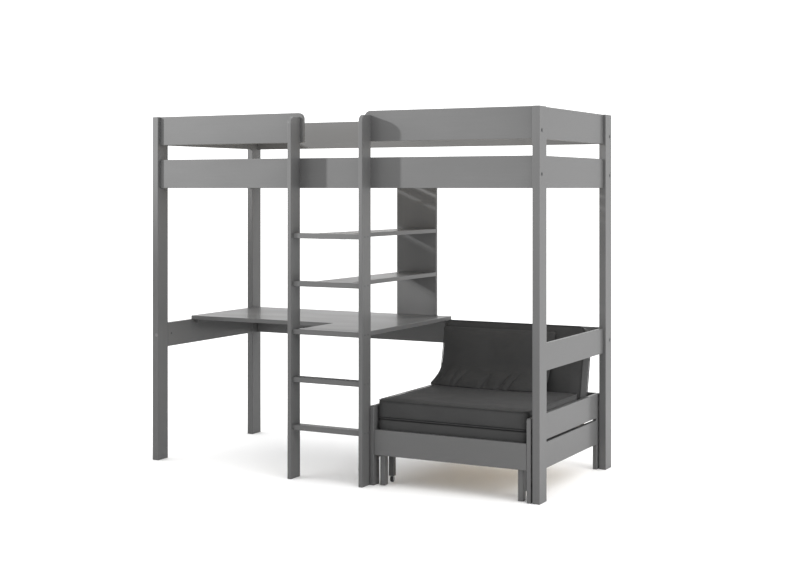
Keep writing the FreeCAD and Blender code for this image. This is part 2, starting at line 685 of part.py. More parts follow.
def pull_out():
    """Apron, legs, castor blocks, ledge, slats and tie bar: everything that slides forward."""
    apron_z = (APRON_TOP - CHAIR_BOARD_HEIGHT, APRON_TOP)
    apron_back = CHAIR_FRONT + BOARD
    apron = board((CHAIR_IN_LEFT + 1, CHAIR_IN_RIGHT - 1), (CHAIR_FRONT, apron_back), apron_z)
    write("pullout_apron", [apron])

    top = SLAT_UNDERSIDE - LEDGE
    legs = []
    for middle in leg_centres():
        legs.append(board((middle - LEG_X / 2, middle + LEG_X / 2), (apron_back, apron_back + LEG_Y),
                          (LEG_CLEARANCE, top)))
    write("pullout_legs", legs)

    blocks = []
    back = CASTOR_Y + CASTOR_POST_Y / 2
    block_top = LEDGE_TOP - 2.0
    for middle in leg_centres():
        x = (middle - LEG_X / 2, middle + LEG_X / 2)
        arm = box(x, (apron_back + LEG_Y, back), (block_top - CASTOR_ARM_HEIGHT, block_top))
        post = box(x, (back - CASTOR_POST_Y, back), (CASTOR_HEIGHT, block_top))
        block = arm.fuse(post).removeSplitter()
        blocks.append(block.makeFillet(1.5, block.Edges))
    write("castor_blocks", blocks)

    ledge = board((CHAIR_IN_LEFT + 2, CHAIR_IN_RIGHT - 2), (apron_back, apron_back + LEDGE),
                  (top, SLAT_UNDERSIDE + SLIDE_GAP), 1.0)
    tie_low = LEDGE_TOP + SLIDE_GAP
    tie_y = (TIE_BACK - LEDGE, TIE_BACK)
    tie = box((CHAIR_IN_LEFT + 2, CHAIR_IN_RIGHT - 2), tie_y, (tie_low, SLAT_UNDERSIDE - SLIDE_GAP))
    slats = []
    for i in range(1, CHAIR_SLATS, 2):
        left = chair_slat_x(i)
        seat = box((left, left + CHAIR_SLAT_WIDTH), tie_y, (tie_low, SLAT_UNDERSIDE + SLIDE_GAP))
        tie = tie.fuse(seat)
        slats.append(board((left, left + CHAIR_SLAT_WIDTH), (apron_back, TIE_BACK),
                           (SLAT_UNDERSIDE + SLIDE_GAP, SEAT_SLAT_TOP), 2.0))
    write("pullout_ledge", [ledge])
    write("pullout_tie_bar", [tie.removeSplitter()])
    write("pullout_slats", slats)


def castor_fork(x):
    """A pressed steel fork under its block: a plate, two cheeks."""
    half = CASTOR_PLATE / 2
    plate = board((x - half, x + half), (CASTOR_Y - half, CASTOR_Y + half),
                  (CASTOR_HEIGHT - 1.2, CASTOR_HEIGHT), 0.4)
    solid = plate
    for side in (-1, 1):
        inner = x + side * (WHEEL_WIDTH / 2 + 1.0)
        outer = x + side * (WHEEL_WIDTH / 2 + 2.6)
        cheek = box((min(inner, outer), max(inner, outer)), (CASTOR_Y - 6.0, CASTOR_Y + 6.0),
                    (WHEEL_RADIUS - 6.0, CASTOR_HEIGHT - 1.0))
        solid = solid.fuse(cheek)
    axle_hole = rod((x - CASTOR_PLATE, CASTOR_Y, WHEEL_RADIUS), "+x", 2 * CASTOR_PLATE, AXLE_RADIUS)
    return solid.cut(axle_hole)


def castors():
    """Forks and axles on the pull-out part, and a wheel on each side."""
    forks = []
    axles = []
    for side, name in enumerate(("left", "right")):
        x = leg_centres()[side]
        forks.append(castor_fork(x))
        end = WHEEL_WIDTH / 2 + 3.4
        axles.append(rod((x - end, CASTOR_Y, WHEEL_RADIUS), "+x", 2 * end, AXLE_RADIUS))
        wheel = rod((x - WHEEL_WIDTH / 2, CASTOR_Y, WHEEL_RADIUS), "+x", WHEEL_WIDTH, WHEEL_RADIUS)
        rims = [e for e in wheel.Edges if e.Curve.TypeId == "Part::GeomCircle"]
        wheel = wheel.makeFillet(2.0, rims)
        bore = rod((x - WHEEL_WIDTH, CASTOR_Y, WHEEL_RADIUS), "+x", 2 * WHEEL_WIDTH, AXLE_RADIUS + FIT)
        wheel = wheel.cut(bore)
        write("castor_wheel_" + name, [wheel])
    write("castor_forks", forks)
    write("castor_axles", axles)


# ---- cushions -------------------------------------------------------------------------------

def cushions():
    """Two seat layers, a leaning back cushion and a loose pillow, as plain closed solids."""
    x = (CHAIR_IN_LEFT + PAD_SIDE_GAP, CHAIR_IN_RIGHT - PAD_SIDE_GAP)
    front = CHAIR_FRONT + BOARD + 2.0
    low = SEAT_SLAT_TOP + PAD_GAP
    lower = board(x, (front, front + LOWER_PAD_DEPTH), (low, low + PAD_THICKNESS), PAD_EDGE)
    write("seat_pad_lower", [lower])
    high = low + PAD_THICKNESS + PAD_GAP
    upper = board(x, (front, front + UPPER_PAD_DEPTH), (high, high + PAD_THICKNESS), PAD_EDGE)
    write("seat_pad_upper", [upper])

    along = (BACK_HEIGHT - low) / math.cos(BACK_LEAN) - BACK_LIFT
    back = board(x, (0, BACK_THICKNESS), (0, along), PAD_EDGE)
    back.rotate(Vector(0, 0, 0), ALONG["x"], -math.degrees(BACK_LEAN))
    back.translate(Vector(0, BACK_FOOT, low + BACK_LIFT))
    write("back_cushion", [back])

    seat = high + PAD_THICKNESS + PAD_GAP
    lean = math.tan(BACK_LEAN)
    foot = BACK_FOOT - PILLOW_GAP + (seat - low - BACK_LIFT) * lean
    outline = [
        Vector(PILLOW_LEFT, foot, seat),
        Vector(PILLOW_LEFT, foot + PILLOW_HEIGHT * lean, seat + PILLOW_HEIGHT),
        Vector(PILLOW_LEFT, foot + PILLOW_HEIGHT * lean - PILLOW_TOP_DEPTH, seat + PILLOW_HEIGHT),
        Vector(PILLOW_LEFT, foot - PILLOW_BELLY_DEPTH, seat + PILLOW_BELLY_HEIGHT),
        Vector(PILLOW_LEFT, foot - PILLOW_FOOT_DEPTH, seat),
    ]
    side = Part.Face(Part.makePolygon(outline + outline[:1]))
    pillow = side.extrude(Vector(PILLOW_RIGHT - PILLOW_LEFT, 0, 0))
    write("pillow", [pillow.makeFillet(12.0, pillow.Edges)])


def main():
    """Build every node."""
    os.makedirs("parts", exist_ok=True)
    rail_screw_holes = [screw(*place, LADDER_SCREW, grow=FIT) for place in ladder_screw_places()]
    rung_screw_holes = [screw(*place, LADDER_SCREW, grow=FIT) for place in rung_screw_places()]
    bed_frame(hole_tools() + rail_screw_holes)
    frame_fittings()
    slatted_base()
    ladder(rung_screw_holes + rail_screw_holes)
    desk()
    shelf_screws = bookcase()
    screws = [screw(*place, LADDER_SCREW) for place in rung_screw_places() + ladder_screw_places()]
    screws += [screw(*place) for place in shelf_screws + desk_screw_places()]
    write("wood_screws", screws)
    chair_posts()
    chair_boards()
    chair_base()
    backrest_rack()
    pull_out()
    castors()
    cushions()
    print("travel", round(TRAVEL, 1))


main()
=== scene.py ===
"""Finishes, cushions and studio for a loft bed with a desk, laid out as a Blender add-on.

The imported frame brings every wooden, steel and plastic part. This file gives them their
finishes, makes the cushions of the chair bed and sets up the light and the camera.
"""
import math

import bmesh
import bpy
from mathutils import Matrix, Vector, noise


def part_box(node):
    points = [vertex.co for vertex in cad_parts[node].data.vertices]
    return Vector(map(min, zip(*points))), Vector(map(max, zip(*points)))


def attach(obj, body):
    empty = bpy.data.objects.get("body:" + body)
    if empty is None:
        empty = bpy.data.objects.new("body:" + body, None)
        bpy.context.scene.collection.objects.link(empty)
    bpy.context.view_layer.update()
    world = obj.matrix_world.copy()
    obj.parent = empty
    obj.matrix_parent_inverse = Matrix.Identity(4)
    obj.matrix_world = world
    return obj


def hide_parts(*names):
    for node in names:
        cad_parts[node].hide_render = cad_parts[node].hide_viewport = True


bl_info = {
    "name": "Loft Bed Finishes",
    "version": (1, 0, 0),
    "blender": (4, 5, 0),
    "location": "View3D > Sidebar > Loft Bed",
    "description": "Lacquer, slats, fittings, cushions and studio for a loft bed with a desk",
    "category": "Object",
}

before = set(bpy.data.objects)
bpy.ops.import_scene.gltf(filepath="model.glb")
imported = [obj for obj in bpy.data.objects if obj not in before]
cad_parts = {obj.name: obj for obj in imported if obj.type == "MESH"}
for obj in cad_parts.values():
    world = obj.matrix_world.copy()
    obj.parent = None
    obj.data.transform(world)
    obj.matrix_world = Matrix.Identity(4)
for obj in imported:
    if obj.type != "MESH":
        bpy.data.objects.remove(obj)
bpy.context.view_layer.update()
MM = 0.001


# ---- colours and nodes ----------------------------------------------------------------------

def linear(code):
    """An sRGB hex colour as linear red, green, blue and an alpha of 1."""
    channels = []
    for start in (1, 3, 5):
        value = int(code[start:start + 2], 16) / 255
        channels.append(value / 12.92 if value <= 0.04045 else ((value + 0.055) / 1.055) ** 2.4)
    return (*channels, 1.0)


def shade(colour, factor):
    """The same colour, lighter or darker."""
    return (*[min(1.0, channel * factor) for channel in colour[:3]], 1.0)


def add_node(tree, kind, inputs, output=0, **settings):
    """Add a node and give back one of its outputs.

    The inputs are a list in the node's order, or a dictionary by name or number. Each is a
    number or colour to set, or a socket to link from.
    """
    node = tree.nodes.new(kind)
    for key, value in settings.items():
        setattr(node, key, value)
    for key, value in inputs.items() if isinstance(inputs, dict) else enumerate(inputs):
        if isinstance(value, bpy.types.NodeSocket):
            tree.links.new(value, node.inputs[key])
        else:
            node.inputs[key].default_value = value
    return node.outputs[output] if len(node.outputs) else None


def new_material(name):
    """An empty node material, and the socket with the piece's own coordinates."""
    material = bpy.data.materials.new(name)
    material.use_nodes = True
    tree = material.node_tree
    tree.nodes.clear()
    return material, tree, add_node(tree, "ShaderNodeTexCoord", {}, "Object")


def along_grain(axis, length, width):
    """Mapping scale at which noise runs in streaks of this length and width along one axis."""
    return [1 / (length if name == axis else width) for name in "xyz"]


# ---- materials ------------------------------------------------------------------------------

# A wave texture of scale 1 has a band every 0.314 m.
BAND_SPACING = 0.314
# Sockets of the colour mix: factor, first colour, second colour, and its result.
FACTOR, FIRST, SECOND, MIXED = 0, 6, 7, 2


def satin_lacquer(name, colour, axis):
    """Sprayed opaque lacquer on planed pine: an even satin grey with the grain felt through it."""
    material, tree, place = new_material(name)
    # Pine grain is about 1 mm apart; it is drawn 4 mm apart so that it can be made out.
    streaks = add_node(tree, "ShaderNodeMapping", {
        "Vector": place, "Scale": along_grain(axis, 260 * MM, 4 * MM)})
    grain = add_node(tree, "ShaderNodeTexNoise", {
        "Vector": streaks, "Scale": 1.0, "Detail": 3.0, "Roughness": 0.55, "Distortion": 0.3})
    # Spray texture, the slight orange peel of the dried film.
    peel = add_node(tree, "ShaderNodeTexNoise", {
        "Vector": place, "Scale": 1 / (2.2 * MM), "Detail": 1.0})
    # The film is a little thicker and paler in some places.
    patches = add_node(tree, "ShaderNodeMapping", {
        "Vector": place, "Scale": along_grain(axis, 420 * MM, 150 * MM)})
    cloud = add_node(tree, "ShaderNodeTexNoise", {"Vector": patches, "Scale": 1.0})
    tone = add_node(tree, "ShaderNodeMapRange", [cloud, 0.3, 0.7, 0.0, 1.0])
    body = add_node(tree, "ShaderNodeMix", {
        FACTOR: tone, FIRST: shade(colour, 0.955), SECOND: shade(colour, 1.045)},
        MIXED, data_type="RGBA")
    streak = add_node(tree, "ShaderNodeMapRange", [grain, 0.35, 0.75, 0.0, 0.30])
    body = add_node(tree, "ShaderNodeMix", {
        FACTOR: streak, FIRST: body, SECOND: shade(colour, 0.90)}, MIXED, data_type="RGBA")
    gloss = add_node(tree, "ShaderNodeMapRange", [cloud, 0.25, 0.75, 0.42, 0.50])
    felt = add_node(tree, "ShaderNodeBump", {
        "Height": grain, "Distance": 0.10 * MM, "Strength": 1.0})
    felt = add_node(tree, "ShaderNodeBump", {
        "Height": peel, "Distance": 0.03 * MM, "Strength": 1.0, "Normal": felt})
    shader = add_node(tree, "ShaderNodeBsdfPrincipled", {
        "Base Color": body, "Roughness": gloss, "IOR": 1.49, "Specular IOR Level": 0.12,
        "Normal": felt, "Coat Weight": 0.18, "Coat Roughness": 0.13})
    add_node(tree, "ShaderNodeOutputMaterial", {"Surface": shader})
    return material


def planed_wood(name, pale, dark, axis, ring):
    """Unfinished planed wood: pale spring growth, darker summer lines and a dry, open surface."""
    material, tree, place = new_material(name)
    # The rings wander by up to 35 mm over the length of a board.
    patches = add_node(tree, "ShaderNodeMapping", {
        "Vector": place, "Scale": along_grain(axis, 500 * MM, 45 * MM)})
    bend = add_node(tree, "ShaderNodeTexNoise", {
        "Vector": patches, "Scale": 1.0, "Distortion": 0.5})
    drift = add_node(tree, "ShaderNodeCombineXYZ", [bend, bend, bend])
    drift = add_node(tree, "ShaderNodeVectorMath", {0: drift, "Scale": 35 * MM},
                     operation="SCALE")
    shifted = add_node(tree, "ShaderNodeVectorMath", [place, drift], operation="ADD")
    # Growth rings, one dark line each ring of the given width.
    rings = add_node(tree, "ShaderNodeTexWave", {
        "Vector": shifted, "Scale": BAND_SPACING / ring, "Distortion": 1.2, "Detail": 2.0,
        "Detail Scale": 0.6}, "Fac", wave_type="BANDS", wave_profile="SAW",
        bands_direction="Y" if axis == "x" else "X")
    lines = add_node(tree, "ShaderNodeMapRange", [rings, 0.45, 1.0, 0.0, 0.75])
    body = add_node(tree, "ShaderNodeMix", {FACTOR: lines, FIRST: pale, SECOND: dark},
                    MIXED, data_type="RGBA")
    # Fibres 0.9 mm wide catch a little shadow.
    streaks = add_node(tree, "ShaderNodeMapping", {
        "Vector": place, "Scale": along_grain(axis, 60 * MM, 0.9 * MM)})
    fibre = add_node(tree, "ShaderNodeTexNoise", {
        "Vector": streaks, "Scale": 1.0, "Detail": 3.0, "Roughness": 0.6})
    streak = add_node(tree, "ShaderNodeMapRange", [fibre, 0.45, 0.8, 0.0, 0.35])
    body = add_node(tree, "ShaderNodeMix", {
        FACTOR: streak, FIRST: body, SECOND: shade(dark, 0.85)}, MIXED, data_type="RGBA")
    rough = add_node(tree, "ShaderNodeMapRange", [rings, 0.0, 1.0, 0.62, 0.5])
    felt = add_node(tree, "ShaderNodeBump", {
        "Height": fibre, "Distance": 0.12 * MM, "Strength": 1.0})
    shader = add_node(tree, "ShaderNodeBsdfPrincipled", {
        "Base Color": body, "Roughness": rough, "IOR": 1.5, "Normal": felt})
    add_node(tree, "ShaderNodeOutputMaterial", {"Surface": shader})
    return material


def plated_steel(name, colour, rough):
    """Electroplated steel: a dull metallic film with faint cloudy patches and tumbling marks."""
    material, tree, place = new_material(name)
    cloud = add_node(tree, "ShaderNodeTexNoise", {
        "Vector": place, "Scale": 1 / (9 * MM), "Detail": 3.0})
    marks = add_node(tree, "ShaderNodeTexNoise", {"Vector": place, "Scale": 1 / (0.8 * MM)})
    tone = add_node(tree, "ShaderNodeMapRange", [cloud, 0.3, 0.7, 0.0, 1.0])
    body = add_node(tree, "ShaderNodeMix", {
        FACTOR: tone, FIRST: shade(colour, 0.88), SECOND: shade(colour, 1.08)},
        MIXED, data_type="RGBA")
    gloss = add_node(tree, "ShaderNodeMapRange", [cloud, 0.3, 0.7, rough - 0.06, rough + 0.10])
    felt = add_node(tree, "ShaderNodeBump", {
        "Height": marks, "Distance": 0.02 * MM, "Strength": 1.0})
    shader = add_node(tree, "ShaderNodeBsdfPrincipled", {
        "Base Color": body, "Metallic": 1.0, "Roughness": gloss, "Normal": felt})
    add_node(tree, "ShaderNodeOutputMaterial", {"Surface": shader})
    return material


def moulded_plastic(name, colour, rough):
    """Injection-moulded plastic with the fine spark-eroded texture of its mould."""
    material, tree, place = new_material(name)
    grit = add_node(tree, "ShaderNodeTexNoise", {"Vector": place, "Scale": 1 / (0.6 * MM)})
    wear = add_node(tree, "ShaderNodeTexNoise", {
        "Vector": place, "Scale": 1 / (14 * MM), "Detail": 3.0})
    tone = add_node(tree, "ShaderNodeMapRange", [wear, 0.35, 0.75, 0.0, 1.0])
    body = add_node(tree, "ShaderNodeMix", {
        FACTOR: tone, FIRST: colour, SECOND: shade(colour, 1.25)}, MIXED, data_type="RGBA")
    gloss = add_node(tree, "ShaderNodeMapRange", [wear, 0.3, 0.7, rough, rough + 0.12])
    felt = add_node(tree, "ShaderNodeBump", {
        "Height": grit, "Distance": 0.04 * MM, "Strength": 1.0})
    shader = add_node(tree, "ShaderNodeBsdfPrincipled", {
        "Base Color": body, "Roughness": gloss, "IOR": 1.53, "Normal": felt})
    add_node(tree, "ShaderNodeOutputMaterial", {"Surface": shader})
    return material


def woven_tape(name, colour):
    """Polyester slat tape: ribs across its width, a pale off-white with a dry sheen."""
    material, tree, place = new_material(name)
    # Ribs 2 mm apart, twice the real pitch so that they show.
    ribs = add_node(tree, "ShaderNodeTexWave", {
        "Vector": place, "Scale": BAND_SPACING / (2 * MM)}, "Fac",
        wave_type="BANDS", bands_direction="X")
    # Painted shade: the hollows between the ribs are drawn darker, as if shade fell into them.
    body = add_node(tree, "ShaderNodeMix", {
        FACTOR: ribs, FIRST: shade(colour, 0.78), SECOND: colour}, MIXED, data_type="RGBA")
    felt = add_node(tree, "ShaderNodeBump", {
        "Height": ribs, "Distance": 0.25 * MM, "Strength": 1.0})
    shader = add_node(tree, "ShaderNodeBsdfPrincipled", {
        "Base Color": body, "Roughness": 0.85, "Sheen Weight": 0.2, "Normal": felt})
    add_node(tree, "ShaderNodeOutputMaterial", {"Surface": shader})
    return material


def tight_weave(name, colour):
    """Smooth tight-woven polyester cover: near-black charcoal with a soft, faintly silky gloss."""
    material, tree, place = new_material(name)
    # Warp and weft threads 1.6 mm apart, drawn coarser than the real 0.5 mm.
    thread = {"Scale": BAND_SPACING / (1.6 * MM), "Distortion": 0.4, "Detail": 1.0}
    warp = add_node(tree, "ShaderNodeTexWave", {"Vector": place, **thread}, "Fac",
                    wave_type="BANDS", bands_direction="X")
    turned = add_node(tree, "ShaderNodeMapping", {
        "Vector": place, "Rotation": (math.radians(45), 0, 0)})
    weft = add_node(tree, "ShaderNodeTexWave", {"Vector": turned, **thread}, "Fac",
                    wave_type="BANDS", bands_direction="Y")
    weave = add_node(tree, "ShaderNodeMath", [warp, weft], operation="MULTIPLY")
    # Yarn differs a little from thread to thread, and the nap lies differently in patches.
    streaks = add_node(tree, "ShaderNodeMapping", {
        "Vector": place, "Scale": along_grain("x", 70 * MM, 5 * MM)})
    slub = add_node(tree, "ShaderNodeTexNoise", {
        "Vector": streaks, "Scale": 1.0, "Detail": 3.0, "Roughness": 0.6})
    nap = add_node(tree, "ShaderNodeTexNoise", {
        "Vector": place, "Scale": 1 / (110 * MM), "Detail": 3.0, "Roughness": 0.55,
        "Distortion": 0.4})
    tone = add_node(tree, "ShaderNodeMapRange", [nap, 0.3, 0.7, 0.0, 1.0])
    body = add_node(tree, "ShaderNodeMix", {
        FACTOR: tone, FIRST: shade(colour, 0.86), SECOND: shade(colour, 1.14)},
        MIXED, data_type="RGBA")
    streak = add_node(tree, "ShaderNodeMapRange", [slub, 0.4, 0.8, 0.0, 0.25])
    body = add_node(tree, "ShaderNodeMix", {
        FACTOR: streak, FIRST: body, SECOND: shade(colour, 1.30)}, MIXED, data_type="RGBA")
    # Painted shade: the gaps between the threads are drawn darker, as if shade fell into them.
    gap_shade = add_node(tree, "ShaderNodeMapRange", [weave, 0.0, 0.5, 0.22, 0.0])
    body = add_node(tree, "ShaderNodeMix", {
        FACTOR: gap_shade, FIRST: body, SECOND: shade(colour, 0.55)}, MIXED, data_type="RGBA")
    gloss = add_node(tree, "ShaderNodeMapRange", [nap, 0.3, 0.7, 0.60, 0.74])
    felt = add_node(tree, "ShaderNodeBump", {
        "Height": weave, "Distance": 0.16 * MM, "Strength": 1.0})
    shader = add_node(tree, "ShaderNodeBsdfPrincipled", {
        "Base Color": body, "Roughness": gloss, "IOR": 1.46, "Specular IOR Level": 0.2,
        "Normal": felt, "Sheen Weight": 0.03, "Sheen Roughness": 0.45,
        "Sheen Tint": (0.8, 0.8, 0.82, 1.0)})
    add_node(tree, "ShaderNodeOutputMaterial", {"Surface": shader})
    return material


def white_vinyl(name):
    """Matt vinyl sheet for the studio floor: plain white, with a trace of paler clouds."""
    material, tree, place = new_material(name)
    cloud = add_node(tree, "ShaderNodeTexNoise", {"Vector": place, "Scale": 1 / (400 * MM)})
    body = add_node(tree, "ShaderNodeMix", {
        FACTOR: cloud, FIRST: linear("#fefefe"), SECOND: linear("#ffffff")},
        MIXED, data_type="RGBA")
    shader = add_node(tree, "ShaderNodeBsdfPrincipled", {"Base Color": body, "Roughness": 0.9})
    add_node(tree, "ShaderNodeOutputMaterial", {"Surface": shader})
    return material


def paint(names, material):
    """Put one material on CAD nodes or on new pieces."""
    for name in names:
        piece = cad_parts.get(name) or bpy.data.objects[name]
        piece.data.materials.clear()
        piece.data.materials.append(material)


# ---- settings -------------------------------------------------------------------------------

def colour_setting(name, description, code):
    """A colour that the user can change."""
    return bpy.props.FloatVectorProperty(
        name=name, description=description, subtype="COLOR", size=4, min=0.0, max=1.0,
        default=linear(code))


class LoftBedFinish(bpy.types.PropertyGroup):
    """Colours of the bed."""
    lacquer: colour_setting("Lacquer", "Colour of the lacquered boards", "#565656")
    pine: colour_setting("Pine", "Colour of the bare slats", "#dccbae")
    pine_rings: colour_setting("Pine Rings", "Colour of the dark rings in the slats", "#bfa47c")
    cover: colour_setting("Cushion Cover", "Colour of the cushion covers", "#343434")
    zinc: colour_setting("Zinc", "Colour of the shelf angles, castor forks and axles", "#b4b6b9")
    bolt: colour_setting("Bolt Heads", "Colour of the blackened bolts", "#26272a")
    # The screws' dark grey is their own finish; for the barrel nuts it is also painted shade,
    # standing in for the shade in the holes they sit in.
    screw: colour_setting("Screws", "Colour of the phosphated screws and barrel nuts", "#4c4d50")


class LoftBedCushions(bpy.types.PropertyGroup):
    """Sizes of the cushions."""
    corner: bpy.props.FloatProperty(
        name="Corner", description="Radius of a pad's corners seen from above", unit="LENGTH",
        default=32 * MM, min=0.0)
    edge: bpy.props.FloatProperty(
        name="Edge", description="Radius where the panels meet the sides", unit="LENGTH",
        default=8 * MM, min=0.0)
    crown: bpy.props.FloatProperty(
        name="Crown", description="How far a pad's face swells between its seams", unit="LENGTH",
        default=6 * MM, min=0.0)
    piping: bpy.props.FloatProperty(
        name="Piping", description="Radius of the corded seam", unit="LENGTH",
        default=2.2 * MM, min=0.0)
    voxel: bpy.props.FloatProperty(
        name="Mesh Size", description="Size of the quads that the pads are simulated on",
        unit="LENGTH", default=9 * MM, min=2 * MM)
    pillow_fill: bpy.props.FloatProperty(
        name="Pillow Fill", description="How full the pillow is", subtype="FACTOR", default=0.5,
        min=0.0, max=1.0)
    pillow_pressure: bpy.props.FloatProperty(
        name="Pillow Pressure", description="Air pressure that plumps the pillow", default=22.0,
        min=0.0)


class LoftBedStudio(bpy.types.PropertyGroup):
    """Camera and light."""
    lens: bpy.props.FloatProperty(
        name="Lens", description="Focal length on a 36 mm sensor, in millimetres", default=65.46)
    yaw: bpy.props.FloatProperty(
        name="Yaw", description="Turn of the camera from looking along +Y", subtype="ANGLE",
        default=math.radians(30.21))
    key: bpy.props.FloatProperty(
        name="Key Light", description="Power of the lamp at the front left", default=4100.0,
        min=0.0)
    fill: bpy.props.FloatProperty(
        name="Fill Light", description="Power of the soft box on the right", default=110.0,
        min=0.0)
    sky: bpy.props.FloatProperty(
        name="Surround", description="Brightness of the white surround", default=1.5, min=0.0)


# ---- finishes -------------------------------------------------------------------------------

BOARDS_ALONG_X = (
    "rail_front", "rail_back", "guard_front_left", "guard_front_right", "guard_back",
    "desk_rail_back", "desk_top", "rung_1", "rung_2", "rung_3", "rung_4", "rung_5",
    "slat_ledges", "desk_cleats", "chair_board_back", "chair_bearers", "pullout_apron",
    "pullout_ledge", "backrest_rack",
)
BOARDS_ALONG_Y = (
    "rail_left", "rail_right", "guard_left", "guard_right", "arm_rail_right", "desk_rail_left",
    "shelf_lower", "shelf_upper", "chair_boards_left", "chair_boards_right", "chair_ledges",
)
BOARDS_ALONG_Z = (
    "post_front_left", "post_front_right", "post_back_left", "post_back_right",
    "ladder_upright_left", "ladder_upright_right", "bookcase_panel", "chair_front_posts",
    "chair_back_posts", "pullout_legs", "castor_blocks",
)


class LOFTBED_OT_lacquer(bpy.types.Operator):
    """Lacquer every board, with the grain along its length"""
    bl_idname = "loftbed.lacquer"
    bl_label = "Lacquer Boards"

    def execute(self, context):
        colour = context.scene.loft_bed_finish.lacquer
        for axis, names in zip("xyz", (BOARDS_ALONG_X, BOARDS_ALONG_Y, BOARDS_ALONG_Z)):
            paint(names, satin_lacquer("satin_grey_lacquer_" + axis, colour, axis))
        return {"FINISHED"}


class LOFTBED_OT_slats(bpy.types.Operator):
    """Leave the slats as planed pine and the dowels as beech"""
    bl_idname = "loftbed.slats"
    bl_label = "Finish Slats"

    def execute(self, context):
        finish = context.scene.loft_bed_finish
        paint(("bed_slats", "chair_fixed_slats", "pullout_slats"),
              planed_wood("planed_pine", finish.pine, finish.pine_rings, "y", ring=9 * MM))
        paint(("pullout_tie_bar",),
              planed_wood("planed_pine_bar", finish.pine, finish.pine_rings, "x", ring=7 * MM))
        paint(("wood_dowels",),
              planed_wood("turned_beech", linear("#d9b58a"), linear("#c39a6c"), "x", ring=3 * MM))
        paint(("slat_webs",), woven_tape("polyester_tape", linear("#e4e2da")))
        return {"FINISHED"}


class LOFTBED_OT_fittings(bpy.types.Operator):
    """Finish the bolts, screws, angles and castors"""
    bl_idname = "loftbed.fittings"
    bl_label = "Finish Fittings"

    def execute(self, context):
        finish = context.scene.loft_bed_finish
        paint(("frame_bolts",), plated_steel("blackened_steel", finish.bolt, rough=0.42))
        paint(("shelf_brackets", "castor_forks", "castor_axles"),
              plated_steel("zinc_plated_steel", finish.zinc, rough=0.34))
        # Partly the screws' own dark finish, partly painted shade: the barrel nuts are drawn dark
        # for the shade inside their holes.
        paint(("barrel_nuts", "wood_screws"),
              plated_steel("phosphated_steel_and_painted_hole_shade", finish.screw, rough=0.5))
        paint(("bolt_plugs",),
              moulded_plastic("grey_polyethylene_cap", finish.lacquer, rough=0.5))
        paint(("castor_wheel_left", "castor_wheel_right"),
              moulded_plastic("black_nylon", linear("#2a2b2d"), rough=0.42))
        return {"FINISHED"}


# ---- cushions -------------------------------------------------------------------------------

# Segments of the rounded corners and edges of a pad, and of the corners of the pillow.
PAD_CORNER_SEGMENTS = 6
PAD_EDGE_SEGMENTS = 3
PILLOW_CORNER_SEGMENTS = 3
CORD_SIDES = 8

# The pads: room that their solids leave, distance from a seam over which the cover is held,
# air pressure, steps of the cloth simulation, and the slow unevenness of foam.
SEAT_PAD_ROOM = (3 * MM, 6 * MM, 1 * MM)
BACK_CUSHION_ROOM = (4 * MM, 2 * MM, 2 * MM)
PAD_SEAM_HOLD = 12 * MM
PAD_PRESSURE = 4.0
PAD_STEPS = 20
FOAM_RISE = 1.1 * MM
FOAM_WAVES_PER_METRE = 9.0

# The back cushion leans back by this much for each metre of height.
BACK_LEAN_SLOPE = 0.2345
BACK_THICKNESS = 104 * MM

# The pillow before it is filled: side clearance, thickness, corners, mesh size, distance from
# a seam over which it is held, the most that it may swell, and steps of its simulation.
PILLOW_SIDE_ROOM = 1 * MM
PILLOW_FLAT = 12 * MM
PILLOW_CORNER = 14 * MM
PILLOW_VOXEL = 6.5 * MM
PILLOW_SEAM_HOLD = 9 * MM
PILLOW_SWELL = 60 * MM
PILLOW_STEPS = 24
# Height up the flat pillow, then where that lies: from the back cushion's foot and the seat.
PILLOW_STOPS = (
    (0.000, -0.118, 0.001), (0.070, -0.060, 0.034), (0.135, -0.008, 0.070),
    (0.205, 0.016, 0.128), (0.300, 0.038, 0.216), (0.375, 0.053, 0.281),
)
PILLOW_TALL = PILLOW_STOPS[-1][0]
# Steps over which the bends of that line are eased, and to each side from which it is aimed.
EASE_STEP = 9 * MM
AIM_STEP = 3 * MM
# Place across, lean, width and depth of each gather at the pillow's foot.
PILLOW_FOLDS = (
    (-0.36, 0.50, 0.024, 0.0130), (-0.26, 0.30, 0.018, 0.0090), (-0.13, 0.75, 0.020, 0.0150),
    (-0.02, -0.20, 0.022, 0.0080), (0.07, 0.60, 0.018, 0.0130), (0.16, 0.15, 0.020, 0.0080),
    (0.25, 0.80, 0.016, 0.0150), (0.32, 0.70, 0.015, 0.0130), (0.40, -0.40, 0.020, 0.0090),
)
# Depth of the lumps in the filling, lumps per metre across and up, and their place in the noise.
PILLOW_LUMPS = ((3.5 * MM, 5, 7, 0.4), (1.6 * MM, 16, 12, 3.1))
# Height of the plain solid that the pillow replaces.
PILLOW_CAD_RISE = 290 * MM
# Share of its half width by which the pillow narrows halfway up.
PILLOW_WAIST = 0.045
# Height over which the pillow's foot bulges and gathers, and how far its middle slides forward.
PILLOW_FOOT = 75 * MM
PILLOW_SLUMP = 24 * MM
# Swell of its front, more of it at the foot, and of its back, as shares of the simulated one.
PILLOW_FRONT, PILLOW_FRONT_FOOT, PILLOW_BACK = 1.35, 0.45, 0.75
# Half thickness below which lumps and gathers fade towards the seam.
PILLOW_RIM = 14 * MM
# Gap to the seat and to the back cushion.
PILLOW_GAP = 2 * MM


def object_from(name, bm):
    """A new object with the mesh of bm, which is freed."""
    mesh = bpy.data.meshes.new(name)
    bm.to_mesh(mesh)
    bm.free()
    piece = bpy.data.objects.new(name, mesh)
    bpy.context.scene.collection.objects.link(piece)
    return piece


def shade_smooth(piece):
    """Smooth shading all over."""
    for polygon in piece.data.polygons:
        polygon.use_smooth = True


